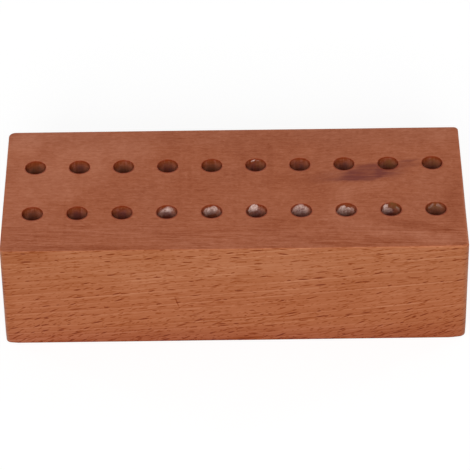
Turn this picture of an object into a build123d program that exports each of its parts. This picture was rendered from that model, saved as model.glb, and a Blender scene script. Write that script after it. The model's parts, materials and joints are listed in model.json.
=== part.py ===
from build123d import *
import math
import os

# A tool holder made from one piece of beech: a solid block with rows of blind bores drilled into
# its top, each of which holds one slim tool upright by its shank.
# Sizes are in millimetres. X runs along the block, Y from its front face to its back face, Z up.
# The origin is at the middle of the underside, the face that rests on the bench.

# The drilling pattern
bores_per_row = 10
rows = 2
bore_pitch = 15.0  # centre to centre along a row
row_spacing = 25.0  # centre line to centre line
end_margin = 10.0  # from an end face to the centre of the nearest bore
side_margin = 20.0  # from the front or back face to the centre line of the nearest row

# One bore, made with a twist drill
bore_diameter = 7.0  # takes a shank of up to about 6.5 mm
bore_depth = 30.0  # from the top face to where the full diameter ends
drill_point_angle = 118.0  # degrees, the full angle of the cone that the drill leaves
mouth_ease = 0.3  # the sanded 45 degree edge round each mouth

# The block
wood_below_bores = 10.0  # from the underside to where the full diameter ends
corner_radius = 1.6  # on the four upright edges
edge_radius = 0.5  # on the edges round the top and the underside

block_length = 2 * end_margin + (bores_per_row - 1) * bore_pitch
block_width = 2 * side_margin + (rows - 1) * row_spacing
block_height = wood_below_bores + bore_depth


def blank():
    """The planed and sanded block before drilling, standing on its underside."""
    block = Box(block_length, block_width, block_height, align=(Align.CENTER, Align.CENTER, Align.MIN))
    block = fillet(block.edges().filter_by(Axis.Z), corner_radius)
    rims = block.faces().sort_by(Axis.Z)[0].edges() + block.faces().sort_by(Axis.Z)[-1].edges()
    return fillet(rims, edge_radius)


def drilled_space():
    """The space that one bore leaves, with its mouth at Z 0: eased mouth, straight wall, drill point."""
    bore_radius = bore_diameter / 2
    point_depth = bore_radius / math.tan(math.radians(drill_point_angle / 2))
    above = mouth_ease  # the cut starts this far above the wood and widens at the same 45 degrees
    outline = Polyline(
        (0, 0, above),
        (bore_radius + mouth_ease + above, 0, above),
        (bore_radius, 0, -mouth_ease),
        (bore_radius, 0, -bore_depth),
        (0, 0, -bore_depth - point_depth),
        close=True,
    )
    return revolve(make_face(outline), Axis.Z)


def holder_block():
    """The finished holder: the blank with its whole pattern of bores."""
    pattern = GridLocations(bore_pitch, row_spacing, bores_per_row, rows)
    spaces = Pos(0, 0, block_height) * pattern * drilled_space()
    return blank() - spaces


os.makedirs("parts", exist_ok=True)
export_step(holder_block(), "parts/holder_block.step")

print(f"holder block {block_length:g} x {block_width:g} x {block_height:g} mm")
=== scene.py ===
# %% [markdown]
# A small wooden tool holder: one block of stained beech with two rows of drilled bores, each of
# which holds a slim tool upright by its shank. There is only one piece of wood, so the whole
# lesson is about two things: a clean mesh with holes in it, and a wood that is solid all through.
# Lengths are in metres, as everywhere in Blender. X runs along the block, Y from its front face
# to its back face, Z up, and the origin is at the middle of the underside.

# %% The frame and the tools of the lesson
import json
import math

import bmesh
import bpy
from mathutils import Matrix, Vector, noise


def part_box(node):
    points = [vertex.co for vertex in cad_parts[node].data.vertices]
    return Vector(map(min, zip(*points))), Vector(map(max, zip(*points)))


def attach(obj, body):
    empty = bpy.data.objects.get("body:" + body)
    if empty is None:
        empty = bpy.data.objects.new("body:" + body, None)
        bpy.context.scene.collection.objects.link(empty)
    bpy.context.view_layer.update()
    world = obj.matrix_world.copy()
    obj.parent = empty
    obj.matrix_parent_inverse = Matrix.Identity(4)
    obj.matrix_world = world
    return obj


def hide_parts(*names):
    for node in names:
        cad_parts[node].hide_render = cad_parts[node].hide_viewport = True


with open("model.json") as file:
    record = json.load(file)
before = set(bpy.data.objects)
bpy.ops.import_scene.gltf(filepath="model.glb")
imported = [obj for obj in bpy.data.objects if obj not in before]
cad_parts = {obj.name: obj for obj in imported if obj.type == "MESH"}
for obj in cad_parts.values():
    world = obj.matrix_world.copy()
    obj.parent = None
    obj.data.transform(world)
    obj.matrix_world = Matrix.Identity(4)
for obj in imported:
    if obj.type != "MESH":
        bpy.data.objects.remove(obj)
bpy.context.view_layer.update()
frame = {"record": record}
mm = 0.001
bpy.context.scene.view_settings.view_transform = "Standard"

# %% [markdown]
# The picture was taken with a long lens from far away, looking down at the front face, so the
# block keeps nearly its true proportions. A camera is easiest to place the way a photographer
# does it: choose the point it looks at, then the two angles and the distance, then the lens, and
# at last tilt it a little about its own line of sight.

# %% Camera
camera_aim = Vector((0.13, -0.9, 20.2)) * mm
camera_elevation = math.radians(39.18)
camera_turn = math.radians(0.28)
camera_tilt = math.radians(-0.92)
camera_distance = 1063 * mm
camera_lens = 238.6
film_width = 36  # in millimetres, like the lens

camera_rotation = (
    Matrix.Rotation(camera_turn, 3, "Z")
    @ Matrix.Rotation(math.pi / 2 - camera_elevation, 3, "X")
    @ Matrix.Rotation(camera_tilt, 3, "Z")
)
camera_place = camera_aim + camera_rotation @ Vector((0, 0, camera_distance))
bpy.ops.object.camera_add(location=camera_place, rotation=camera_rotation.to_euler())
camera = bpy.context.object
camera.data.sensor_width = film_width
camera.data.lens = camera_lens
bpy.context.scene.camera = camera
print("camera at", [round(v / mm, 1) for v in camera_place], "mm")

# %% [markdown]
# Satin lacquer shows the room it stands in, so the room is plain: a pale world, one large soft
# lamp in front and above, and weaker ones behind. Two of those stand low, so that they light the
# ends and the back but hardly the top. The world and the floor look white to the camera, in
# reflections and through glass, but they light the wood only as much as a pale room would,
# which is what the Light Path node is for. The floor still darkens under the block.

# %% Placing nodes
def plug(place, given):
    """Joins a socket to another socket or a Value, or gives it a plain number or colour."""
    given = getattr(given, "socket", given)
    if isinstance(given, bpy.types.NodeSocket):
        place.id_data.links.new(given, place)
    else:
        place.default_value = given


def add_node(tree, kind, inputs=None, **options):
    """A new node with its options set and its inputs joined; returns its outputs."""
    node = tree.nodes.new(kind)
    for name, value in options.items():
        setattr(node, name, value)
    for name, given in (inputs or {}).items():
        plug(node.inputs[name], given)
    return node.outputs


def seen_as_white(tree):
    """A socket that is 1 for the rays to which the backdrop looks white, and 0 for the others."""
    path = add_node(tree, "ShaderNodeLightPath")
    seen = path["Is Camera Ray"]
    for ray in ("Is Glossy Ray", "Is Transmission Ray"):
        seen = add_node(tree, "ShaderNodeMath", {0: seen, 1: path[ray]}, operation="MAXIMUM")[0]
    return seen


print("nodes can be placed")

# %% The pale room
world_light = 0.44
backdrop_white = 0.985

world = bpy.data.worlds.new("pale_room")
bpy.context.scene.world = world
world.use_nodes = True
tree = world.node_tree
tree.nodes.clear()
strength = add_node(tree, "ShaderNodeMapRange", {
    "Value": seen_as_white(tree), "To Min": world_light, "To Max": backdrop_white,
})[0]
background = add_node(tree, "ShaderNodeBackground", {"Strength": strength})[0]
add_node(tree, "ShaderNodeOutputWorld", {"Surface": background})
print("world", world_light, "to the wood and", backdrop_white, "to the camera")

# %% Lamps
lamp_aim = Vector((0, 0, 20 * mm))
large_lamp, small_lamp = 1.4, 0.4


def soft_lamp(name, place, size, watts):
    """A square lamp at a place, turned to face the block."""
    aim = (lamp_aim - place).to_track_quat("-Z", "Y").to_euler()
    bpy.ops.object.light_add(type="AREA", location=place, rotation=aim)
    lamp = bpy.context.object
    lamp.name = name
    lamp.data.shape = "SQUARE"
    lamp.data.size = size
    lamp.data.energy = watts
    lamp.visible_camera = False
    lamp.visible_glossy = False


soft_lamp("front_lamp", Vector((-0.1, -2.68, 1.65)), large_lamp, watts=87.4)
soft_lamp("back_lamp", Vector((1.7, 1.9, 0.9)), large_lamp, watts=6.0)
for side in (-1, 1):
    soft_lamp("low_lamp", Vector((2.5 * side, 1.5, 0.22)), small_lamp, watts=28.0)

# %% Floor
floor_size = 12.0
floor_gap = 0.05 * mm  # keeps the underside and the floor out of one plane
floor_grey = 0.20
floor_glow = 0.84

bpy.ops.mesh.primitive_plane_add(size=floor_size, location=(0, 0, -floor_gap))
floor = bpy.context.object
floor.name = "floor"
floor_paint = bpy.data.materials.new("pale_floor")
floor_paint.use_nodes = True
tree = floor_paint.node_tree
tree.nodes.clear()
matt = add_node(tree, "ShaderNodeBsdfDiffuse", {"Color": (floor_grey, floor_grey, floor_grey, 1)})[0]
strength = add_node(tree, "ShaderNodeMapRange", {"Value": seen_as_white(tree), "To Max": floor_glow})[0]
shine = add_node(tree, "ShaderNodeEmission", {"Strength": strength})[0]
both = add_node(tree, "ShaderNodeAddShader", {0: matt, 1: shine})[0]
add_node(tree, "ShaderNodeOutputMaterial", {"Surface": both})
floor.data.materials.append(floor_paint)
print("floor", floor_size, "m wide")

# %% [markdown]
# The real block is sawn and planed, drilled, and then sanded by hand, so its edges are soft and
# not all alike. It could be made by cutting twenty cylinders out of a box with a Boolean, but
# that leaves long thin faces which shade badly. Here one bore is modelled with the square of
# wood around it, in clean four-sided faces, and that cell is repeated, as a tiler would do it.
# The sizes come from the frame, so the holes lie where the tools expect them.

# %% Sizes of the block
hair = 0.01 * mm  # points closer than this count as one

block_low, block_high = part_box("holder_block")
bores = [m for m in frame["record"]["mounts"] if m["kind"] == "bore"]
columns = sorted({round(b["pos_m"][0], 6) for b in bores})
rows = sorted({round(b["pos_m"][1], 6) for b in bores})
pitch = columns[1] - columns[0]
row_gap = rows[1] - rows[0]
bore_radius = bores[0]["dims"]["r_mm"] * mm
bore_floor = bores[0]["pos_m"][2] - bores[0]["dims"]["length_mm"] * mm
mouth_ease = block_high.z - bores[0]["pos_m"][2]
print(len(columns), "x", len(rows), "bores,", round(2 * bore_radius / mm, 2), "mm wide,")
print(round(pitch / mm, 2), "mm apart in rows", round(row_gap / mm, 2), "mm apart")


# %% Choosing parts of a mesh by their place
def choose(kind, test):
    """In edit mode, selects just the vertices, edges or faces that pass a test."""
    bpy.ops.mesh.select_mode(type=kind)
    bpy.ops.mesh.select_all(action="DESELECT")
    mesh = bmesh.from_edit_mesh(bpy.context.object.data)
    parts = {"VERT": mesh.verts, "EDGE": mesh.edges, "FACE": mesh.faces}[kind]
    chosen = [part for part in parts if test(part)]
    for part in chosen:
        part.select_set(True)
    bmesh.update_edit_mesh(bpy.context.object.data)
    return len(chosen)


def stretch(move):
    """Extrudes the selected edges along one move."""
    bpy.ops.mesh.extrude_edges_move(TRANSFORM_OT_translate={"value": move})


print("parts of a mesh can be chosen and stretched")

# %% [markdown]
# The cell starts as the outline of a grid: its inner points are deleted, a circle with as many
# points as the outline is added in the middle, and Bridge Edge Loops fills the ring between
# them. The circle is then pulled down into the wall of the bore and closed in a cone, which is
# what the point of a twist drill leaves. Bevelling the mouth at the end sands its edge.

# %% The cell: outline and ring
cell_columns, cell_rows = 9, 15
cell_points = 2 * (cell_columns + cell_rows)
ring_cuts = 4
cell_x, cell_y = columns[0], rows[0]
top = block_high.z

bpy.ops.object.select_all(action="DESELECT")
bpy.ops.mesh.primitive_grid_add(
    x_subdivisions=cell_columns, y_subdivisions=cell_rows, size=1, enter_editmode=True
)
bpy.ops.transform.resize(value=(pitch, row_gap, 1))
bpy.ops.transform.translate(value=(cell_x, cell_y, top))
block = bpy.context.object
block.name = "beech_block"


def inside_cell(vertex):
    """True for a point of the cell that isn't on its outline."""
    across, along = abs(vertex.co.x - cell_x), abs(vertex.co.y - cell_y)
    return across < pitch / 2 - hair and along < row_gap / 2 - hair


choose("VERT", inside_cell)
bpy.ops.mesh.delete(type="VERT")
bpy.ops.mesh.primitive_circle_add(
    vertices=cell_points, radius=bore_radius, location=(cell_x, cell_y, top),
    rotation=(0, 0, math.pi / cell_points),
)
bpy.ops.mesh.select_all(action="SELECT")
bpy.ops.mesh.bridge_edge_loops(number_cuts=ring_cuts, interpolation="LINEAR")
print("faces round one mouth:", len(bmesh.from_edit_mesh(block.data).faces))

# %% The cell: wall, drill point and mouth
drill_point = math.radians(118)
wall_steps = 6
mouth_softness = mouth_ease / 2
mouth_segments = 3


def on_mouth(edge):
    """True for an edge of the circle where the bore meets the top."""
    reach = [math.hypot(v.co.x - cell_x, v.co.y - cell_y) for v in edge.verts]
    level = min(v.co.z for v in edge.verts)
    return level > top - hair and max(abs(r - bore_radius) for r in reach) < hair


choose("EDGE", on_mouth)
for _ in range(wall_steps):
    stretch((0, 0, (bore_floor - top) / wall_steps))
stretch((0, 0, -bore_radius / math.tan(drill_point / 2)))
bpy.ops.mesh.merge(type="CENTER")
mouth_edges = choose("EDGE", on_mouth)
bpy.ops.mesh.bevel(offset=mouth_softness, segments=mouth_segments, affect="EDGES")
bpy.ops.object.mode_set(mode="OBJECT")
print("mouth edges bevelled:", mouth_edges)


# %% Twenty cells
def repeat(count, step):
    """Repeats the mesh with an Array modifier, joins the copies and applies it."""
    bpy.ops.object.modifier_add(type="ARRAY")
    array = bpy.context.object.modifiers[-1]
    array.count = count
    array.use_relative_offset = False
    array.use_constant_offset = True
    array.constant_offset_displace = step
    array.use_merge_vertices = True
    array.merge_threshold = hair
    bpy.ops.object.modifier_apply(modifier=array.name)


repeat(len(columns), (pitch, 0, 0))
repeat(len(rows), (0, row_gap, 0))
print("faces after tiling:", len(block.data.polygons))

# %% [markdown]
# The tiles end half a pitch beyond the last bores, so the top is widened to its real outline by
# extruding its open edges sideways. The same open edges, all the way round, are then pulled
# down to the bench in steps, and Grid Fill closes the underside.

# %% The rest of the top, the four sides and the underside
side_strips = 3
side_steps = 12


def widen(axis, sign, total, steps):
    """Moves the open edges at one side of the top outwards, in even strips."""
    def outermost(edge):
        limit = (columns, rows)[axis][-1 if sign > 0 else 0] * sign + (pitch, row_gap)[axis] / 2
        return edge.is_boundary and all(sign * v.co[axis] > limit - hair for v in edge.verts)

    choose("EDGE", outermost)
    for _ in range(steps):
        stretch([sign * total / steps if k == axis else 0 for k in range(3)])


end_strip = block_high.x - columns[-1] - pitch / 2
side_strip = block_high.y - rows[-1] - row_gap / 2
bpy.ops.object.mode_set(mode="EDIT")
for sign in (-1, 1):
    widen(0, sign, end_strip, 1)
for sign in (-1, 1):
    widen(1, sign, side_strip, side_strips)
rim_edges = choose("EDGE", lambda edge: edge.is_boundary)
for _ in range(side_steps):
    stretch((0, 0, (block_low.z - block_high.z) / side_steps))
bpy.ops.mesh.fill_grid(span=len(columns) * cell_columns + 2)
bpy.ops.mesh.select_all(action="SELECT")
bpy.ops.mesh.normals_make_consistent(inside=False)
open_edges = choose("EDGE", lambda edge: edge.is_boundary)
print("edges round the rim:", rim_edges, " open edges left:", open_edges)

# %% [markdown]
# A sanded edge is never quite even: the paper rocks, and one corner always gets more of it. The
# four upright edges are bevelled first. The edges round the top and the underside then get a
# bevel weight each, which a Bevel modifier turns into a width, so that the softness wanders
# along the block and grows towards the right end of the front, as the photograph shows.

# %% Upright edges
corner_radii = {(-1, -1): 1.6 * mm, (1, -1): 1.9 * mm, (-1, 1): 2.3 * mm, (1, 1): 1.6 * mm}
corner_segments = 6

for (side_x, side_y), radius in corner_radii.items():
    corner = Vector((side_x * block_high.x, side_y * block_high.y))
    choose("EDGE", lambda edge: all((v.co.xy - corner).length < hair for v in edge.verts))
    bpy.ops.mesh.bevel(offset=radius, segments=corner_segments, affect="EDGES")
print("upright edges:", len(corner_radii))

# %% Edges round the top and the underside
widest_rim = 1.4 * mm
rim_segments = 5
usual_rim = 0.40  # this width and the ones below are in millimetres
slow_wander, slow_waves = 0.10, 60  # waves per metre
quick_wander, quick_waves = 0.05, 210
front_rim_less = 0.14
right_end_more = 0.80
right_end_from = 0.60  # where that starts, as a share of the way to the right end


def rim_width(place):
    """How wide the sanded edge is at one place of the rim, in metres."""
    wander = noise.noise(place * slow_waves) * slow_wander
    wander += noise.noise(place * quick_waves) * quick_wander
    width = usual_rim + wander
    if place.z > block_high.z / 2 and place.y < 0:
        past_start = max(0.0, place.x / block_high.x - right_end_from)
        width += right_end_more * past_start / (1 - right_end_from) - front_rim_less
    return width * mm


def on_rim(edge):
    """True where a level face meets an upright one at the outside of the block."""
    tilts = sorted(abs(face.normal.z) for face in edge.link_faces)
    middle = (edge.verts[0].co + edge.verts[1].co) / 2
    outside = abs(middle.x) > columns[-1] + pitch / 3 or abs(middle.y) > rows[-1] + row_gap / 3
    return outside and tilts[0] < 0.1 and tilts[-1] > 0.9


choose("EDGE", on_rim)
mesh = bmesh.from_edit_mesh(block.data)
weights = mesh.edges.layers.float.new("bevel_weight_edge")
rim_count = 0
for edge in mesh.edges:
    if edge.select:
        edge[weights] = rim_width((edge.verts[0].co + edge.verts[1].co) / 2) / widest_rim
        rim_count += 1
bmesh.update_edit_mesh(block.data)
bpy.ops.object.mode_set(mode="OBJECT")
bpy.ops.object.modifier_add(type="BEVEL")
rim_bevel = block.modifiers[-1]
rim_bevel.limit_method = "WEIGHT"
rim_bevel.width = widest_rim
rim_bevel.segments = rim_segments
bpy.ops.object.modifier_apply(modifier=rim_bevel.name)
print("rim edges bevelled:", rim_count, " faces:", len(block.data.polygons))

# %% [markdown]
# The two lower corners of the front were knocked on a bench. They could be sculpted, but a push
# has a size that can be written down: a few points are moved with proportional editing, which
# takes the wood round them along, less and less with the distance. Then the shading is made
# smooth, and Weighted Normal keeps the large faces flat right up to their rounded edges.

# %% Knocked lower corners
struck_radius = 0.9 * mm
knocked_corners = {
    # corner: (reach along the edges, how far it is driven in)
    (1, -1): (5.0 * mm, (-0.15 * mm, 0.10 * mm, 0.40 * mm)),
    (-1, -1): (3.5 * mm, (0.10 * mm, 0.08 * mm, 0.25 * mm)),
}

bpy.ops.object.mode_set(mode="EDIT")
for (side_x, side_y), (reach, blow) in knocked_corners.items():
    corner = Vector((side_x * block_high.x, side_y * block_high.y, block_low.z))
    struck = choose("VERT", lambda vertex: (vertex.co - corner).length < struck_radius)
    bpy.ops.transform.translate(
        value=blow, use_proportional_edit=True, proportional_edit_falloff="SMOOTH",
        proportional_size=reach,
    )
    print("points at the knocked corner:", struck)
bpy.ops.object.mode_set(mode="OBJECT")

# %% Smooth shading with flat faces
smooth_angle = math.radians(32)

bpy.ops.object.shade_smooth_by_angle(angle=smooth_angle)
bpy.ops.object.modifier_add(type="WEIGHTED_NORMAL")
block.modifiers[-1].keep_sharp = True
bpy.ops.object.modifier_apply(modifier=block.modifiers[-1].name)
print("smoothed; box", [round(v / mm, 2) for v in block.dimensions], "mm")

# %% [markdown]
# Wood is solid all through, so its pattern is made solid too: every effect below is worked out
# from the place of a point inside the block, and the faces, the ends and the walls of the bores
# cut through one and the same piece of wood. A node tree is a formula drawn as a picture. The
# formulas here are long, so a small class lets them be written as sums, and each plus or times
# still becomes a Math node that can be opened and looked at.

# %% Formulas that become nodes
class Value:
    """A number on its way through a node tree."""

    def __init__(self, socket):
        self.socket = socket
        self.tree = socket.id_data

    def do(self, operation, *others):
        """One operation of the Math node, with this number first."""
        node = self.tree.nodes.new("ShaderNodeMath")
        node.operation = operation
        for place, given in zip(node.inputs, (self,) + others):
            plug(place, given)
        return Value(node.outputs[0])

    def __add__(self, other):
        return self.do("ADD", other)

    __radd__ = __add__

    def __sub__(self, other):
        return self.do("SUBTRACT", other)

    def __rsub__(self, other):
        return self.do("MULTIPLY", -1).do("ADD", other)

    def __mul__(self, other):
        return self.do("MULTIPLY", other)

    __rmul__ = __mul__

    def __truediv__(self, other):
        return self.do("DIVIDE", other)

    def __pow__(self, other):
        return self.do("POWER", other)

    def __abs__(self):
        return self.do("ABSOLUTE")

    def ramp(self, low, high, to_low=0.0, to_high=1.0):
        """Goes softly from one value to another while this one goes from low to high."""
        inputs = {"Value": self, "From Min": low, "From Max": high, "To Min": to_low, "To Max": to_high}
        return Value(add_node(self.tree, "ShaderNodeMapRange", inputs, interpolation_type="SMOOTHSTEP")[0])


def split(vector):
    """The three parts of a vector socket."""
    parts = add_node(vector.id_data, "ShaderNodeSeparateXYZ", {"Vector": vector})
    return [Value(part) for part in parts]


def join(x, y, z):
    """A vector made of three parts, of which the first is a Value."""
    return add_node(x.tree, "ShaderNodeCombineXYZ", {"X": x, "Y": y, "Z": z})[0]


print("sums and products become Math nodes")


# %% Vectors, noise and colours
def vector_math(operation, first, *others):
    """One vector socket worked out from others, part by part."""
    inputs = dict(enumerate((first,) + others))
    return add_node(first.id_data, "ShaderNodeVectorMath", inputs, operation=operation)[0]


def in_millimetres(place):
    """A place in millimetres."""
    return vector_math("MULTIPLY", place, (1 / mm, 1 / mm, 1 / mm))


def clouds(vector, size, detail=2.0, rough=0.5, bend=0.0):
    """Soft noise from 0 to 1, whose clouds have a size along each part of the vector."""
    in_clouds = vector_math("MULTIPLY", vector, [1 / length for length in size])
    inputs = {"Vector": in_clouds, "Scale": 1.0, "Detail": detail, "Roughness": rough, "Distortion": bend}
    return Value(add_node(vector.id_data, "ShaderNodeTexNoise", inputs)["Fac"])


def drawn_by(number):
    """A random value and colour, which are the same wherever the number is the same."""
    return add_node(number.tree, "ShaderNodeTexWhiteNoise", {"W": number}, noise_dimensions="1D")


def mix_colours(share, below, above):
    """Lays one colour over another by a Value from 0 to 1."""
    inputs = {"Factor": share, 6: below, 7: above}
    return add_node(share.tree, "ShaderNodeMix", inputs, data_type="RGBA")[2]


def relief(tree, height, strength, depth):
    """The direction of the surface with a fine relief in it, whose depth is in metres."""
    inputs = {"Strength": strength, "Distance": depth, "Height": height}
    return add_node(tree, "ShaderNodeBump", inputs)[0]


print("noise and colours can be mixed")


# %% Groups with named sockets
def new_group(name, inputs, outputs):
    """An empty node group; returns it, what comes in by name and what goes out by name."""
    group = bpy.data.node_groups.new(name, "ShaderNodeTree")
    for side, sockets in (("INPUT", inputs), ("OUTPUT", outputs)):
        for label, kind in sockets.items():
            group.interface.new_socket(name=label, in_out=side, socket_type="NodeSocket" + kind)
    given = group.nodes.new("NodeGroupInput").outputs
    result = group.nodes.new("NodeGroupOutput").inputs
    return group, given, result


def use_group(tree, group, inputs):
    """Places a group in a tree and returns its outputs."""
    return add_node(tree, "ShaderNodeGroup", inputs, node_tree=group)


print("groups can be made and placed")

# %% [markdown]
# A tree is a bundle of fibres, and no sawn block follows them exactly. On the front of this one
# the lines of the grain climb gently to the right, and more steeply low down at the right end. On
# the top they lean the other way and swirl round the foot of a small branch. So the first group
# turns a place in the block into a place in the tree: along the fibres, outwards from the pith,
# and round the stem. Everything else is drawn in those straightened coordinates, in millimetres.

# %% Group: the course of the grain
half_length, half_width, full_height = (v / mm for v in (block_high.x, block_high.y, block_high.z))
climb = 0.083  # slope of the lines on the front
climb_low_right = 0.075  # how much steeper they get low down at the right end
lean_at_front = -0.05  # slope of the lines on the top, at its front edge
lean_behind = 0.0015  # how much that changes with each millimetre backwards
swirl_x, swirl_y = 36.0, 6.0
swirl_length, swirl_width = 25.0, 13.0
swirl_slope = 0.30
slow_wave_height, side_wave_width = 1.2, 2.4

grain_course, given, result = new_group("grain_course", {"Place": "Vector"}, {"Grain": "Vector"})
place = in_millimetres(given["Place"])
x, y, z = split(place)
lowness = 1 - z / full_height
steeper = lowness * lowness * x * x * (climb_low_right / half_length)
slow_wave = clouds(place, (60, 45, 18), detail=1.0) - 0.5
round_stem = z - x * climb - steeper * (0.5 + x / (3 * half_length)) + slow_wave * slow_wave_height
swirl_dx, swirl_dy = x - swirl_x, y - swirl_y
swirl_reach = (swirl_dx / swirl_length) ** 2 + (swirl_dy / swirl_width) ** 2
swirl = swirl_dx * swirl_slope * (swirl_reach * -1).do("EXPONENT")
side_wave = clouds(place, (34, 16, 60), detail=1.0) - 0.5
lean = lean_at_front + lean_behind * (y + half_width)
outwards = y - x * lean - swirl + side_wave * side_wave_width
plug(result["Grain"], join(x, outwards, round_stem))
print("nodes in grain_course:", len(grain_course.nodes))

# %% [markdown]
# Beech is known by its rays: thin sheets of cells that run from the pith to the bark. Where a
# face cuts them square they are small dark dashes, pointed at both ends, and on the ends of the
# block they are long fine lines. Here there are large and small ones and some long faint ones,
# and all lean a little more steeply than the rows in which they stand. Voronoi cells scatter
# them evenly, one to a cell, but their round distance would make round spots. Only the place of
# each cell's middle is used, and the dash is drawn round it with a formula for a lens: thin
# across, long with the fibres, deep inwards.

# %% Group: the rays
usual_chance, lean_spread = 0.45, 0.44
shortest, length_spread = 0.55, 1.2
faintest = 0.55

rays, given, result = new_group("rays", {
    "Grain": "Vector", "Cell": "Vector", "Half Size": "Vector", "Share": "Float", "Lean": "Float",
}, {"Rays": "Float", "Beside": "Float"})
in_cells = vector_math("DIVIDE", given["Grain"], given["Cell"])
cells = add_node(rays, "ShaderNodeTexVoronoi", {"Vector": in_cells, "Scale": 1.0})
from_middle = vector_math("SUBTRACT", in_cells, cells["Position"])
along, inwards, across = split(vector_math("MULTIPLY", from_middle, given["Cell"]))
half_along, half_inwards, half_across = split(given["Half Size"])
chance, longer, darkness = split(cells["Color"])
across = across - along * (Value(given["Lean"]) + (chance - usual_chance) * lean_spread)
lens = (
    abs(across) / half_across
    + (along / half_along / (shortest + length_spread * longer * longer)) ** 2
    + (inwards / half_inwards) ** 2
)
present = chance.ramp(Value(given["Share"]) + 0.02, given["Share"])
strength = faintest + (1 - faintest) * darkness
plug(result["Rays"], lens.ramp(1.1, 0.40) * present * strength)
plug(result["Beside"], lens.ramp(0.8, 1.3) * lens.ramp(2.6, 1.6) * present)
print("nodes in rays:", len(rays.nodes))

# %% [markdown]
# Growth rings are shells round the pith, which in this block lies well behind the back face.
# The top therefore cuts them as close straight lines and the front almost flat, as broad bands.
# The distance from the pith, with a little noise, is cut into rings by its fraction: the colour
# deepens slowly through a summer and starts again at the next spring. The front also has long
# rows, nearly level, which are cut by a fraction of the place round the stem: a dark row, in
# which the rays are strongest, and a pale line right below it. The fibres are stretched noise,
# shifted along as they go sideways, or they would all start and end in step.

# %% Group: rings, fibres and long rows
pith_behind, pith_height = 118.0, 14.0
ring_gap, ring_wander = 1.7, 1.6
stagger = 3.7  # how far the fibres are shifted along for each step to the side
long_row_gap, long_row_wander = 2.9, 1.3
pale_line_top = 0.3  # as a share of the gap; the dark row starts there

growth, given, result = new_group("growth", {"Grain": "Vector"}, {
    "Rings": "Float", "Ring Lines": "Float", "Ray Lines": "Float", "Fibres": "Float",
    "Mottle": "Float", "Dark Rows": "Float", "Pale Lines": "Float",
})
grain = given["Grain"]
along, outwards, round_stem = split(grain)
from_pith = ((outwards - pith_behind) ** 2 + (round_stem - pith_height) ** 2).do("SQRT")
ring_wave = clouds(grain, (60, 9, 12), detail=1.0) - 0.5
years = from_pith / ring_gap + ring_wave * ring_wander
season = years.do("FRACT")
year_depth = Value(drawn_by(years.do("FLOOR"))["Value"]) * 0.8 + 0.2
plug(result["Rings"], season.ramp(0.35, 0.9) * season.ramp(1.0, 0.93) * year_depth)

staggered = join(along + outwards * stagger - round_stem * stagger, outwards, round_stem)
dry_years = outwards.ramp(-14, -24, 0.25, 1.0)
ring_lines = clouds(staggered, (20, 0.42, 15), detail=1.0, rough=0.5, bend=0.4) - 0.5
plug(result["Ring Lines"], ring_lines * (0.95 * dry_years + 0.05))
plug(result["Ray Lines"], clouds(staggered, (40, 12, 0.5), detail=1.0, rough=0.6) - 0.5)
plug(result["Fibres"], clouds(staggered, (4, 0.4, 0.4), detail=1.0, rough=0.6, bend=0.3) - 0.5)
plug(result["Mottle"], clouds(grain, (2.2, 1.3, 1.3), detail=3.0, rough=0.75, bend=1.0) - 0.5)

row_wave = clouds(grain, (120, 40, 6), detail=1.0) - 0.5
row_count = round_stem / long_row_gap + row_wave * long_row_wander
above_line = row_count.do("FRACT") - pale_line_top
row_depth = Value(drawn_by(row_count.do("FLOOR"))["Value"]) * 0.65 + 0.35
row_depth = row_depth * clouds(grain, (50, 40, 3), detail=1.0).ramp(0.35, 0.60, 0.4, 1.0)
plug(result["Dark Rows"], above_line.ramp(-0.03, 0.03) * above_line.ramp(0.45, 0.08) * row_depth)
plug(result["Pale Lines"], above_line.ramp(-0.28, -0.06) * above_line.ramp(0.01, -0.03) * row_depth)
print("nodes in growth:", len(growth.nodes))

# %% [markdown]
# Stained wood has one range of colour: where it drinks more stain it is darker and redder, where
# it drinks less, paler and browner. So all effects are added up to one number, the tone, and a
# Color Ramp turns the tone into colour. End grain drinks the most, and the direction a face
# looks in tells which faces are end grain. The rays show most on the front and the back, which
# cut them open, and hardly on the top. The same masks also make the height of the surface, in
# which the rays lie a little lower than the wood beside them.

# %% What the stained wood is made of
stain_colours = {
    0.00: (0.168, 0.022, 0.003),
    0.25: (0.264, 0.054, 0.0085),
    0.50: (0.398, 0.123, 0.0485),
    0.75: (0.526, 0.208, 0.106),
    1.00: (0.670, 0.310, 0.170),
}
ray_kinds = {
    # name: (size of its cell, its half size, share of the cells that have one)
    "big": ((5.4, 26.0, 1.45), (1.66, 24.0, 0.32), 0.92),
    "small": ((3.0, 20.0, 1.1), (0.75, 18.0, 0.20), 0.60),
    "long": ((11.0, 26.0, 1.9), (4.0, 24.0, 0.26), 0.70),
}
tone_weights = {
    # output of the growth group: (what it adds to the tone anywhere, what it adds on the top)
    "Ring Lines": (0.0, 0.56), "Ray Lines": (0.31, -0.21), "Fibres": (0.15, 0.12),
    "Mottle": (0.05, 0.44), "Rings": (-0.015, -0.020),
}
dark_row_weight, pale_line_weight = 0.10, 0.14
ray_weight, ray_weight_low = 0.51, 0.33
end_weight, end_ring_weight = 0.13, 0.12
small_ray_share, long_ray_share = 0.5, 0.30  # of the strength of a big ray
cut_by_ends, cut_by_top = 0.42, 0.08  # how open the rays lie there; on the front and back, 1
print("kinds of rays:", list(ray_kinds))

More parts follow.
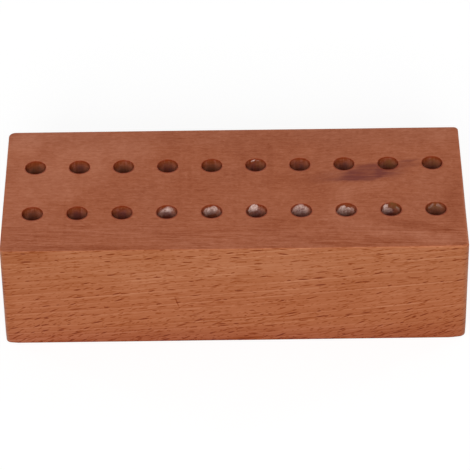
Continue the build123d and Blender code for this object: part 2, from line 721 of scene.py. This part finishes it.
# %% Group: stained beech
stained, given, result = new_group(
    "stained_beech", {"Place": "Vector", "Facing": "Vector", "Tone": "Float"},
    {"Colour": "Color", "Height": "Float"},
)
grain = use_group(stained, grain_course, {"Place": given["Place"]})["Grain"]
height = split(given["Place"])[2]
across_face = split(given["Place"])[0] / (half_length * mm)
down_face = 1 - height / (full_height * mm)
lean = across_face * across_face * (down_face * 0.22 + 0.08) + down_face * 0.25 - 0.075
to_bottom = height.ramp(full_height * mm * 0.5, 0)
to_end, to_front, to_top = map(abs, split(given["Facing"]))
grown = {s.name: Value(s) for s in use_group(stained, growth, {"Grain": grain})}
kinds = {}
for name, (cell, half_size, share) in ray_kinds.items():
    kinds[name] = use_group(stained, rays, {
        "Grain": grain, "Cell": cell, "Half Size": half_size, "Share": share, "Lean": lean,
    })
row_strength = (grown["Dark Rows"] * 1.6 + 0.46).do("MINIMUM", 1.0)
ray_mask = Value(kinds["big"]["Rays"]) * row_strength
ray_mask = ray_mask + Value(kinds["small"]["Rays"]) * small_ray_share
ray_mask = ray_mask + Value(kinds["long"]["Rays"]) * long_ray_share
cut_open = (to_front + cut_by_ends * to_end + cut_by_top * to_top).do("MINIMUM", 1.0)
ray_mask = ray_mask.do("MINIMUM", 1.0) * cut_open
beside_rays = Value(kinds["big"]["Beside"]) * row_strength * cut_open
tone = Value(given["Tone"])
for name, (everywhere, on_top) in tone_weights.items():
    tone = tone + grown[name] * (everywhere + on_top * to_top)
long_rows = grown["Pale Lines"] * pale_line_weight - grown["Dark Rows"] * dark_row_weight
tone = tone + long_rows * to_front + beside_rays * 0.04
tone = tone - ray_mask * (ray_weight + ray_weight_low * to_bottom)
tone = tone - to_end ** 3 * (end_weight + grown["Rings"] * end_ring_weight)
stain = add_node(stained, "ShaderNodeValToRGB", {"Fac": tone})
stain_ramp = stained.nodes[-1].color_ramp
for spot, colour in stain_colours.items():
    stop = stain_ramp.elements.new(spot) if 0 < spot < 1 else stain_ramp.elements[-1 if spot else 0]
    stop.color = (*colour, 1)
plug(result["Colour"], stain["Color"])
wood_height = 0.5 + grown["Ray Lines"] * 0.4 + grown["Fibres"] * 0.5
plug(result["Height"], wood_height - ray_mask * 0.5 - grown["Rings"] * 0.15)
print("nodes in stained_beech:", len(stained.nodes), "and stops:", len(stain_ramp.elements))

# %% [markdown]
# Some things happen only in one spot: a cloud of darker stain, the mark of the branch, a
# scratch. They are all the same shape, a soft patch with its own place, size and turn. A Mapping
# node of the Texture type moves the coordinates the opposite way, so its three vectors can be
# read as the patch's own location, rotation and half sizes. Softness is the share of the patch
# over which it fades: 1 fades right up to its middle, and 0.2 gives it a clear edge.

# %% Group: a soft patch
patch, given, result = new_group(
    "soft_patch",
    {"Place": "Vector", "Middle": "Vector", "Turn": "Vector", "Half Size": "Vector", "Softness": "Float"},
    {"Patch": "Float"},
)
in_patch = add_node(patch, "ShaderNodeMapping", {
    "Vector": given["Place"], "Location": given["Middle"], "Rotation": given["Turn"],
    "Scale": given["Half Size"],
}, vector_type="TEXTURE")[0]
ball = add_node(patch, "ShaderNodeTexGradient", {"Vector": in_patch}, gradient_type="SPHERICAL")
plug(result["Patch"], Value(ball["Fac"]).ramp(0.0, given["Softness"]))
print("nodes in soft_patch:", len(patch.nodes))

# %% [markdown]
# The outside is stained and then lacquered with a thin satin coat. Its clouds and streaks were
# looked up on the photograph and are written as patches, each with a name for what it is. The
# front is also tinted browner above and redder at its foot, and the top is tinted darker and
# greyer as painted light and sheen. A thin dark lip of painted shade lies on the near side of
# each mouth. On the rounded edges the sanding went through the stain, and a painted highlight
# lies there too, so they are paler. A rounded edge is found by its direction, of which no part
# is near one.

# %% Clouds and streaks on the top
top_patches = {
    # name: (x, y, turn in degrees, half length, half width, softness, change of tone)
    "pale cloud back": (-60, 23, 0, 29, 18, 0.30, 0.045),
    "pale cloud left": (-63, 3, 49, 30, 14, 0.30, 0.068),
    "red edge back": (-22, 22, 80, 16, 8, 0.80, -0.060),
    "dark cloud middle": (-22, 0, 4, 32, 12, 0.60, -0.030),
    "pale under branch": (43, -0.7, 12, 14, 3.6, 0.80, 0.060),
    "pale beside branch": (36, -10, 80, 14, 6.0, 0.80, 0.090),
    "pale sweep right": (47, -24, -28, 17, 4.0, 0.80, 0.090),
    "dark streak right": (62, -21.5, -15, 18, 3.0, 0.60, -0.130),
    "pale wedge right": (66, -28, -12, 13, 3.4, 0.60, 0.110),
    "dark front left": (-50, -31, -2, 34, 2.6, 0.80, -0.100),
    "dark back right": (15, 22, 0, 40, 13, 0.80, -0.060),
    "dark behind bore eight": (27, -1, 75, 9, 5, 0.80, -0.060),
    "pale line left": (-45, -22.8, -4.5, 22, 0.55, 0.80, 0.110),
    "pale line middle": (-12, -26.2, -4, 15, 0.50, 0.80, 0.090),
    "dark line middle": (-17, -24.8, -4, 14, 0.50, 0.80, -0.110),
    "pale scratch left": (-71.5, -28.2, 28, 7, 0.50, 0.80, 0.120),
    "dark line right": (36, -30.2, -3, 17, 0.80, 0.80, -0.150),
    "dark left of branch": (20, 5, 8, 16, 9, 0.80, -0.060),
    "dark middle back": (1, 8, 0, 8, 6, 0.80, -0.050),
    "dark front right": (54, -29, -3, 16, 3, 0.80, -0.070),
    "pale back left": (-33, 22, 0, 15, 9, 0.80, 0.065),
    "dark left of bore one": (-60, -10, 0, 9, 5, 0.80, -0.050),
    "dark front left of middle": (-20, -25, 0, 12, 6, 0.80, -0.050),
    "pale corner back right": (72, 27, -40, 9, 7, 0.80, 0.060),
    "pale between bores": (25, 19.5, 0, 5, 4, 0.80, 0.060),
    "pale corner back": (-72, 26, 45, 11, 8, 0.80, 0.100),
    "dark right end": (74, -10, 85, 24, 7, 0.80, -0.080),
    "dark front middle": (15, -19, 0, 14, 5, 0.80, -0.060),
}
print("patches on the top:", len(top_patches))

# %% The mark of the branch
branch_marks = {
    # name: (x, y, turn in degrees, half length, half width, softness, strength)
    "heart": (45.6, 7.8, 18, 12.0, 5.3, 0.50, 0.84),
    "lower band": (38.5, 3.9, 4, 10, 2.2, 0.80, 0.48),
    "dark spot": (49.0, 8.2, 60, 4, 2.2, 0.80, 0.36),
    "left fade": (33, 5.4, 8, 14, 5.0, 0.90, 0.28),
    "right fade": (54, 7.2, 25, 9, 4.5, 0.90, 0.34),
    "tip": (57.5, 12.6, 20, 7, 1.9, 0.80, 0.50),
    "second tip": (59, 11.0, 20, 7, 1.8, 0.80, 0.40),
    "right lobe": (51, 5.9, 14, 7, 1.9, 0.80, 0.38),
    "streak": (60, 13.7, 8, 6, 0.8, 0.80, 0.40),
}
print("patches in the mark:", len(branch_marks))

# %% Clouds, streaks and a scratch on the front
front_patches = {
    # name: (x, z, turn in degrees, half length, half height, softness, change of tone)
    "pale upper band": (-1, 34, 2, 75, 10, 0.80, 0.035),
    "red left end": (-79, 22, 90, 34, 7, 0.80, -0.060),
    "pale streak low": (47, 6, 8, 17, 2.4, 0.80, 0.070),
    "red bottom": (0, -4, 0, 130, 15, 0.80, -0.070),
    # painted shadow: the foot of the front is darkened where it stands on the floor
    "painted shadow at the foot": (0, -0.6, 0, 160, 2.4, 0.80, -0.200),
    "red low right": (58, 3, 8, 32, 13, 0.80, -0.060),
    "dark low middle": (36, 12, 4, 20, 5, 0.80, -0.040),
    "pale above scratch": (-5, 31, 4, 13, 6, 0.80, 0.040),
    "red right of middle": (39, 21, 4, 11, 6, 0.80, -0.040),
    "dark top left": (-68, 38, 2, 12, 4.5, 0.80, -0.100),
    "pale top left": (-49, 36, 2, 9, 5, 0.80, 0.030),
    "dark top middle": (-24, 37, 2, 8, 4, 0.80, -0.050),
    "pale left of scratch": (-30, 25, 0, 15, 9, 0.80, 0.045),
    "dark right of scratch": (14, 12, 4, 16, 5, 0.80, -0.020),
    "pale right of middle": (20, 26, 0, 15, 8, 0.80, 0.035),
    "pale top right": (54, 38, 4, 20, 3.5, 0.80, 0.035),
}
scratch_on_front = (-19.4, 17.2, -73, 3.4, 0.34, 0.90, 0.32)
print("patches on the front:", len(front_patches), "and a scratch")

# %% Helpers for the three finishes
anywhere = 500.0  # a half size that takes in the whole block
wood_shine = 0.20


def patches_on(place, marks, flat_axis):
    """The sum of soft patches on a face that looks along one axis, which the marks leave out."""
    spots = []
    for first, second, turn, half_first, half_second, softness, strength in marks:
        angle = math.radians(turn)
        if flat_axis == "Z":
            middle, turned, half = (first, second, 0), (0, 0, angle), (half_first, half_second, anywhere)
        else:
            middle, turned, half = (first, 0, second), (0, -angle, 0), (half_first, anywhere, half_second)
        spot = {"Place": place, "Middle": middle, "Turn": turned, "Half Size": half, "Softness": softness}
        spots.append(Value(use_group(place.id_data, patch, spot)["Patch"]) * strength)
    return sum(spots)


def new_material(name):
    """A material, its empty tree, the place, also in millimetres, and the surface's direction."""
    material = bpy.data.materials.new(name)
    material.use_nodes = True
    tree = material.node_tree
    tree.nodes.clear()
    coordinates = add_node(tree, "ShaderNodeTexCoord")
    place = coordinates["Object"]
    return material, tree, place, in_millimetres(place), coordinates["Normal"]


def finish_wood(material, sockets):
    """Gives a material its Principled BSDF and its output, and the block the material."""
    tree = material.node_tree
    shader = add_node(tree, "ShaderNodeBsdfPrincipled", {"Specular IOR Level": wood_shine, **sockets})[0]
    add_node(tree, "ShaderNodeOutputMaterial", {"Surface": shader})
    block.data.materials.append(material)
    print("nodes in", material.name, len(tree.nodes))


print("materials can be made")

# %% Material: the lacquered outside
branch_colour = (0.150, 0.024, 0.016, 1)
# paler wood where sanding went through the stain, with a painted highlight on the rounded edges
bare_and_highlight_colour = (0.60, 0.27, 0.15, 1)
# painted shade: a thin dark lip on the near side of each mouth
lip_shade_colour = (0.22, 0.030, 0.008, 1)
# painted light: the top is tinted darker and greyer than the front, for weaker light and sheen
top_light_tint = (0.920, 0.825, 0.860, 1)
back_edge_tint = (0.900, 0.828, 0.900, 1)
upper_front_tint = (1.0, 1.06, 1.07, 1)
foot_tint = (0.93, 0.84, 0.92, 1)
looseness = (6, 3.5, 3.5)  # how far noise moves the patches about, in millimetres
lip_shade_outer, lip_shade_inner = bore_radius / mm + 0.65, bore_radius / mm + 0.32

outside, tree, place, in_mm, facing = new_material("lacquered_beech")
wobble = add_node(tree, "ShaderNodeTexNoise", {"Vector": in_mm, "Scale": 0.11, "Detail": 4.0})["Color"]
wobble = vector_math("SUBTRACT", wobble, (0.5, 0.5, 0.5))
loose_place = vector_math("MULTIPLY_ADD", wobble, looseness, in_mm)
x, y, z = split(in_mm)
to_end, to_front, to_top = split(facing)
looks_up = to_top.ramp(0.5, 0.9)
looks_out = (to_front * -1).ramp(0.5, 0.9)
top_tone = patches_on(loose_place, top_patches.values(), "Z") * looks_up
front_tone = patches_on(loose_place, front_patches.values(), "Y") * looks_out
scratch = patches_on(in_mm, [scratch_on_front], "Y") * looks_out
wood = use_group(tree, stained, {
    "Place": place, "Facing": facing, "Tone": 0.5 + top_tone + front_tone - scratch,
})

tint = mix_colours(z.ramp(12, 36) * looks_out, (1, 1, 1, 1), upper_front_tint)
tint = mix_colours(z.ramp(9, 0) * looks_out, tint, foot_tint)
# painted light and sheen: the top is tinted darker and greyer, and bluer towards its back edge
tint_above = mix_colours(y.ramp(18, 30), top_light_tint, back_edge_tint)
tint = mix_colours(looks_up, tint, tint_above)
colour = vector_math("MULTIPLY", wood["Colour"], tint)

branch = patches_on(loose_place, branch_marks.values(), "Z") * looks_up
branch_lines = clouds(in_mm, (12, 1.1, 9)).ramp(0.30, 0.70, 0.60, 1.0)
colour = mix_colours((branch * branch_lines).do("MINIMUM", 0.92), colour, branch_colour)

# the rounded edges are paler: sanded through the stain, and a painted highlight
squareness = abs(to_end).do("MAXIMUM", abs(to_front)).do("MAXIMUM", abs(to_top))
edge_rub_and_highlight = clouds(in_mm, (7, 7, 7)).ramp(0.3, 0.7, 0.2, 1.0)
colour = mix_colours(squareness.ramp(0.99, 0.80) * edge_rub_and_highlight * 0.20, colour, bare_and_highlight_colour)

from_column = ((x / (pitch / mm)).do("FRACT") - 0.5) * (pitch / mm)
from_row = y - y.do("SIGN") * (rows[-1] / mm)
from_bore = (from_column ** 2 + from_row ** 2).do("SQRT")
# painted shade on the top, round the near side of each mouth
lip_shade = from_bore.ramp(lip_shade_outer, lip_shade_inner) * from_row.ramp(0.5, -2.5) * looks_up
colour = mix_colours(lip_shade * 0.85, colour, lip_shade_colour)

gloss = clouds(in_mm, (25, 18, 18)).ramp(0.3, 0.7, 0.42, 0.54)
finish_wood(outside, {
    "Base Color": colour, "Roughness": gloss,
    "Normal": relief(tree, Value(wood["Height"]) - scratch, strength=0.35, depth=0.06 * mm),
    "Coat Weight": 0.04, "Coat Roughness": 0.30,
})

# %% [markdown]
# Inside the bores the wood is cut across its fibres all round. At the mouth it is deep red, and
# the sides of the wall and its deeper part are darkened to the same red as painted shade. Between
# them a grey or olive film is painted sheen in the finish, and the side walls are made paler as
# painted light. In seven of the front bores and in one at the back the far wall has a pale painted
# highlight, and some far walls drank oil and turned golden brown. Each highlight has its own shape
# in the photograph, so each is made of a few patches, placed from the axis of its bore and by depth.

# %% Painted highlights and oil in the bores
painted_highlights = [
    # (bore in the row, across, depth, turn in degrees, half width, half depth, strength)
    (4, 0.3, 1.7, 22, 2.4, 1.4, 0.46), (4, -0.7, 2.9, 15, 2.7, 1.8, 0.32),
    (4, -2.0, 2.7, 0, 1.5, 1.6, 0.26), (4, 1.9, 3.0, 0, 1.5, 1.8, 0.24),
    (4, 0.3, 1.5, 10, 1.2, 0.8, 0.30),
    (5, -1.6, 2.3, -10, 1.4, 1.6, 0.76), (5, 0.6, 1.6, 20, 1.6, 1.3, 0.70),
    (5, -0.5, 3.2, 15, 2.4, 1.4, 0.50), (5, 2.0, 2.6, 0, 1.2, 1.8, 0.25),
    (6, -1.0, 1.6, 8, 2.0, 1.8, 1.15), (6, -0.8, 3.5, 0, 2.2, 1.9, 0.22),
    (6, 1.7, 2.6, 0, 1.6, 1.9, 0.14),
    (7, -0.4, 2.4, 0, 3.3, 2.5, 0.71), (7, 0.4, 4.2, 0, 2.6, 1.8, 0.32),
    (7, 2.1, 2.6, 0, 1.2, 1.7, 0.20),
    (8, -0.8, 2.6, 8, 2.9, 2.0, 0.82), (8, 1.6, 2.7, 0, 1.5, 1.5, 0.60),
    (8, -0.6, 4.1, 0, 2.4, 1.8, 0.55), (8, -0.6, 1.1, 0, 0.8, 0.6, 0.10),
    (8, 0.3, 1.3, 0, 0.6, 0.7, -0.95), (8, 1.2, 1.7, 0, 0.6, 0.6, -0.95),
    (9, -1.9, 1.7, -14, 1.1, 1.7, 0.85), (9, -0.5, 3.3, -25, 2.0, 1.1, 0.70),
    (9, -1.5, 3.7, 0, 1.6, 1.5, 0.45), (9, 2.4, 2.0, 20, 0.8, 1.0, 0.30),
    (10, -1.4, 1.5, 40, 1.4, 0.7, 0.24), (10, 1.3, 1.5, -30, 1.3, 0.7, 0.24),
    (10, 0.2, 3.4, 0, 2.8, 1.8, 0.06),
]
painted_highlights_behind = [
    # the same for the back row, where only the sixth bore has a little
    (6, -0.85, 0.80, 3, 0.75, 0.30, 0.62), (6, 0.8, 0.90, 0, 0.5, 0.30, 0.26),
]
oiled = [
    # the same for the front bores that drank oil
    (9, 0.9, 1.3, 0, 2.6, 1.7, 0.75), (10, 0.0, 1.6, 0, 3.4, 2.0, 0.52),
]
oiled_behind = [
    # and for the back bores that did
    (4, 0.2, 2.4, 0, 2.0, 1.8, 0.25), (6, 1.2, 2.4, 0, 1.8, 2.0, 0.35),
    (9, 0.8, 2.7, 0, 2.4, 2.0, 0.62), (10, 0.6, 2.6, 0, 2.3, 1.9, 0.45),
]
print("bloom patches:", len(painted_highlights + painted_highlights_behind), " oil patches:", len(oiled + oiled_behind))

# %% Material: the walls of the bores
# colour of the painted highlights on the far walls
painted_highlight_colour = (0.76, 0.55, 0.49, 1)
oil_colour = (0.175, 0.068, 0.022, 1)
# colours of the painted sheen in the walls
grey_sheen, olive_sheen = (0.108, 0.030, 0.033, 1), (0.122, 0.046, 0.024, 1)
# colour of the painted light on the side walls
side_light_colour = (0.38, 0.125, 0.072, 1)
# deep red of the mouth, also used for the painted shade at the sides and deep down
dark_red_and_shade_colour = (0.215, 0.024, 0.005, 1)
bore_tint = (0.85, 0.89, 1.55)
# depths of the painted sheen
sheen_start, sheen_full, sheen_end = 0.5, 2.8, 6.5  # depths in millimetres, as are the two below
# depth of the deep red mouth, and where the painted shade deep down starts
dark_mouth_depth, deep_shade_depth = 0.45, 5.0
painted_highlight_softness = 0.4
row_number = 20  # more than the bores in a row, so that each bore gets its own number

walls, tree, place, in_mm, facing = new_material("bore_wall_beech")
x, y, z = split(in_mm)
depth = full_height - z
ragged = clouds(in_mm, (0.9, 0.9, 1.2), detail=3.0, rough=0.6) - 0.5
ragged_place = join(x + ragged * 1.6, y, z + ragged * 1.3)


def spots_in_bores(spots):
    """The sum of soft patches, placed from the axes of the bores and by depth."""
    marks = [
        (columns[bore - 1] / mm + across, full_height - down, turn, *half_size, painted_highlight_softness, strength)
        for bore, across, down, turn, *half_size, strength in spots
    ]
    return patches_on(ragged_place, marks, "Y").do("MINIMUM", 1.0)


far_wall = y.ramp(rows[0] / mm + 0.5, rows[0] / mm + 1.5) * y.ramp(0.5, 0.0)
far_wall_behind = y.ramp(rows[-1] / mm + 0.5, rows[-1] / mm + 1.5)
streaks = clouds(in_mm, (0.5, 0.5, 6)) - 0.5
specks = clouds(in_mm, (0.55, 0.55, 0.60), detail=1.0) - 0.5
# painted highlight: pale patches on the far walls, fading with depth
painted_highlight = spots_in_bores(painted_highlights) * far_wall * depth.ramp(0.6, 3.8, 0.88, 0.30)
painted_highlight = painted_highlight + spots_in_bores(painted_highlights_behind) * far_wall_behind
painted_highlight = painted_highlight * (0.90 + 1.2 * streaks + 0.6 * ragged + 2.0 * specks)
oil = spots_in_bores(oiled) * far_wall + spots_in_bores(oiled_behind) * far_wall_behind

luck = drawn_by((x / (pitch / mm)).do("FLOOR") + y.do("SIGN") * row_number)
to_right = split(facing)[0] * -1
sideways = abs(to_right)
# painted sheen: a patchy grey or olive film at middle depths, weaker on the side walls
sheen_patchiness = clouds(in_mm, (3, 3, 2.2)).ramp(0.3, 0.7, 0.45, 1.0) + Value(luck["Value"]) * 0.2
painted_sheen = depth.ramp(sheen_start, sheen_full) * depth.ramp(sheen_end, sheen_end - 2.0) * sheen_patchiness
painted_sheen = painted_sheen * sideways.ramp(0.30, 0.85, 1.0, 0.20)
# deep red at the mouth; painted shade on the side walls and deep down
dark_red_and_shade = depth.ramp(dark_mouth_depth + 0.3, dark_mouth_depth - 0.3) * depth.ramp(0.05, 0.30, 0.45, 1.0)
dark_red_and_shade = dark_red_and_shade.do("MAXIMUM", sideways.ramp(0.84, 0.95))
dark_red_and_shade = dark_red_and_shade.do("MAXIMUM", depth.ramp(deep_shade_depth - 0.5, deep_shade_depth + 0.5))
# painted light: the side walls are made paler below the mouth
painted_light_left = to_right.ramp(-0.30, -0.65) * depth.ramp(2.0, 4.0, 0.0, 1.3)
painted_side_light = (to_right.ramp(0.15, 0.70) * 0.9).do("MAXIMUM", painted_light_left)
painted_side_light = painted_side_light * sideways.ramp(0.97, 0.86) * depth.ramp(0.4, 2.2) * depth.ramp(7.5, 5.5)

turned = join(sideways * 0.4, 0, 1)
wood = use_group(tree, stained, {"Place": place, "Facing": turned, "Tone": 0.27 + streaks * 0.45})
colour = vector_math("MULTIPLY", wood["Colour"], bore_tint)
painted_sheen_colour = mix_colours(split(luck["Color"])[0], grey_sheen, olive_sheen)
layers = (
    (dark_red_and_shade * 0.85, dark_red_and_shade_colour), (painted_sheen * 0.75, painted_sheen_colour), (painted_side_light * 0.50, side_light_colour),
    (oil * (0.8 + 3.0 * specks + 1.2 * streaks), oil_colour), (painted_highlight.do("MAXIMUM", 0.0), painted_highlight_colour),
)
for share, paint in layers:
    colour = mix_colours(share, colour, paint)
drill_marks = clouds(in_mm, (8, 8, 0.35), detail=1.0)
cut_height = drill_marks * 0.6 + streaks * 0.3 + Value(wood["Height"]) * 0.3
finish_wood(walls, {
    "Base Color": colour, "Roughness": painted_highlight.ramp(0.0, 1.0, 0.5, 0.85),
    "Normal": relief(tree, cut_height, strength=0.3, depth=0.08 * mm),
})

# %% [markdown]
# The underside isn't in the photograph, so this is a guess: stained with the rest, only wiped
# with lacquer, and rubbed on benches, most along its edges and over the high spots.

# %% Material: the underside
underside, tree, place, in_mm, facing = new_material("rubbed_underside_beech")
x, y = split(in_mm)[:2]
past_edge = (abs(x) - half_length).do("MAXIMUM", abs(y) - half_width)
high_spots = clouds(in_mm, (14, 4, 1), detail=3.0, rough=0.6).ramp(0.42, 0.68)
rubbed = (past_edge.ramp(-9, -1) * 0.6 + 0.5) * high_spots
wood = use_group(tree, stained, {"Place": place, "Facing": facing, "Tone": 0.46 + rubbed * 0.16})
finish_wood(underside, {
    "Base Color": wood["Colour"], "Roughness": rubbed.ramp(0.0, 1.0, 0.58, 0.75),
    "Normal": relief(tree, wood["Height"], strength=0.4, depth=0.06 * mm),
})

# %% [markdown]
# One mesh can carry several materials, and each face holds the number of the one that it shows.
# Three objects would do too, but their edges could come apart. All faces start with number 0,
# the outside. The bores and the underside are given theirs as with the Assign button.

# %% Which face gets which finish
def in_bore(face):
    """True for a face of a bore: its drill point, its wall or its sanded mouth."""
    middle = face.calc_center_median()
    reach = min(
        math.hypot(middle.x - column, middle.y - row) for column in columns for row in rows
    )
    return reach < bore_radius + mouth_ease and middle.z < block_high.z - hair


bpy.ops.object.mode_set(mode="EDIT")
for slot_number, test in ((1, in_bore), (2, lambda face: face.normal.z < -0.99)):
    count = choose("FACE", test)
    block.active_material_index = slot_number
    bpy.ops.object.material_slot_assign()
    print(block.data.materials[slot_number].name, "on", count, "faces")
bpy.ops.object.mode_set(mode="OBJECT")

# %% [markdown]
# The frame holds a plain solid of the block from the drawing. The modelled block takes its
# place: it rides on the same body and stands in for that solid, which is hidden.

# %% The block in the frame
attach(block, "root")
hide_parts("holder_block")
print(block.name, "stands in for the solid of the frame")
